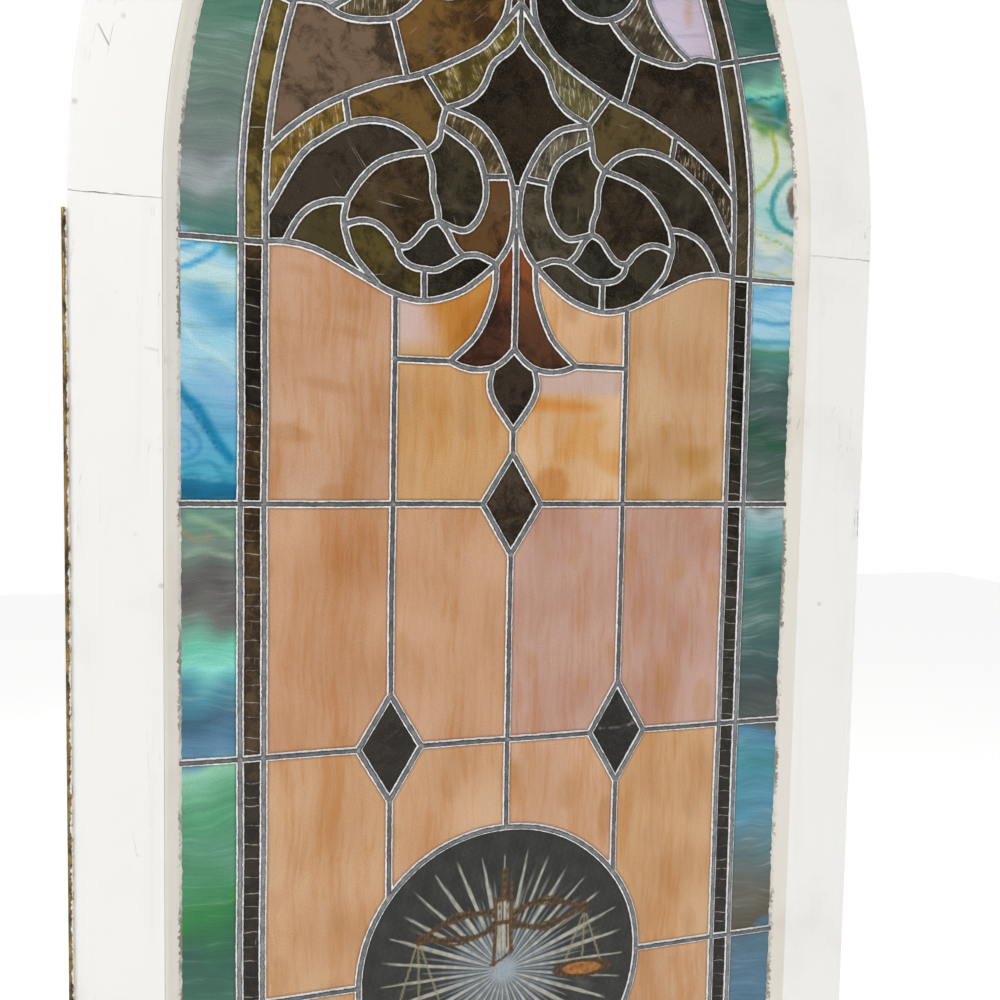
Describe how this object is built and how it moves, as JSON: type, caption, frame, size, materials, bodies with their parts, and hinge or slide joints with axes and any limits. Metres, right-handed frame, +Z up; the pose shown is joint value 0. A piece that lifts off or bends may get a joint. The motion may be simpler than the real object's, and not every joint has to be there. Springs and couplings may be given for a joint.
{
  "type": "hinged stained glass sash with a pointed head",
  "caption": "Hinged white-painted wooden church window sash with a pointed head, holding a leaded stained glass light with a painted roundel, amber quarries, dark scrollwork and a blue-green border.",
  "frame": {"origin": "centre of the flat back of the jamb leaf of the hinge, where the leaf lies against the window frame", "axes": "+Z up, +Y from the putty side to the back of the sash, +X from the hinge across the window"},
  "size_m": [0.8447, 0.0488, 2.245],
  "materials": {
    "paint": "white oil paint over wood, brushed, with fine cracks and small dents",
    "putty": "painted linseed putty, off-white and ragged at the glass",
    "lead": "dull grey lead came with solder at the joints and whitish cement at the edges",
    "brass": "worn brass",
    "amber_glass": "streaky opalescent glass, peach to amber",
    "border_glass": "swirled opalescent glass, blue-green with white",
    "dark_glass": "dark brown and olive glass, rippled",
    "painted_glass": "glass with a fired painted picture"
  },
  "bodies": {
    "jamb_leaf": {"hinge_leaf_jamb": "brass"},
    "sash": {"border_1_left": "border_glass", "border_1_right": "border_glass", "border_2_left": "border_glass", "border_2_right": "border_glass", "border_3_left": "border_glass", "border_3_right": "border_glass", "border_4_left": "border_glass", "border_4_right": "border_glass", "border_5_left": "border_glass", "border_5_right": "border_glass", "border_6_left": "border_glass", "border_6_right": "border_glass", "border_7_left": "border_glass", "border_7_right": "border_glass", "border_8_left": "border_glass", "border_8_right": "border_glass", "bottom_rail": "paint", "diamond_lower_left": "dark_glass", "diamond_lower_right": "dark_glass", "diamond_top": "dark_glass", "diamond_upper_left": "dark_glass", "diamond_upper_right": "dark_glass", "fleur_left": "dark_glass", "fleur_right": "dark_glass", "fleur_shoulder_left": "amber_glass", "fleur_shoulder_right": "amber_glass", "glazing_putty": "putty", "head_left": "paint", "head_right": "paint", "hinge_leaf_sash": "brass", "kite": "dark_glass", "leadwork": "lead", "quarry_1_inner_left": "amber_glass", "quarry_1_inner_right": "amber_glass", "quarry_1_outer_left": "amber_glass", "quarry_1_outer_right": "amber_glass", "quarry_2_inner_left": "amber_glass", "quarry_2_inner_right": "amber_glass", "quarry_2_outer_left": "amber_glass", "quarry_2_outer_right": "amber_glass", "quarry_3_inner_left": "amber_glass", "quarry_3_inner_right": "amber_glass", "quarry_3_outer_left": "amber_glass", "quarry_3_outer_right": "amber_glass", "quarry_4_inner_left": "amber_glass", "quarry_4_inner_right": "amber_glass", "quarry_4_outer_left": "amber_glass", "quarry_4_outer_right": "amber_glass", "quarry_5_inner_left": "amber_glass", "quarry_5_inner_right": "amber_glass", "quarry_5_outer_left": "amber_glass", "quarry_5_outer_right": "amber_glass", "roundel": "painted_glass", "stile_left": "paint", "stile_right": "paint", "teardrop": "dark_glass"}
  },
  "joints": [
    {"name": "sash_hinge", "type": "hinge", "parent": "jamb_leaf", "child": "sash", "pos_m": [0.0022, -0.01075, 0], "axis": [0, 0, -1], "range_deg": [0, 170]}
  ]
}
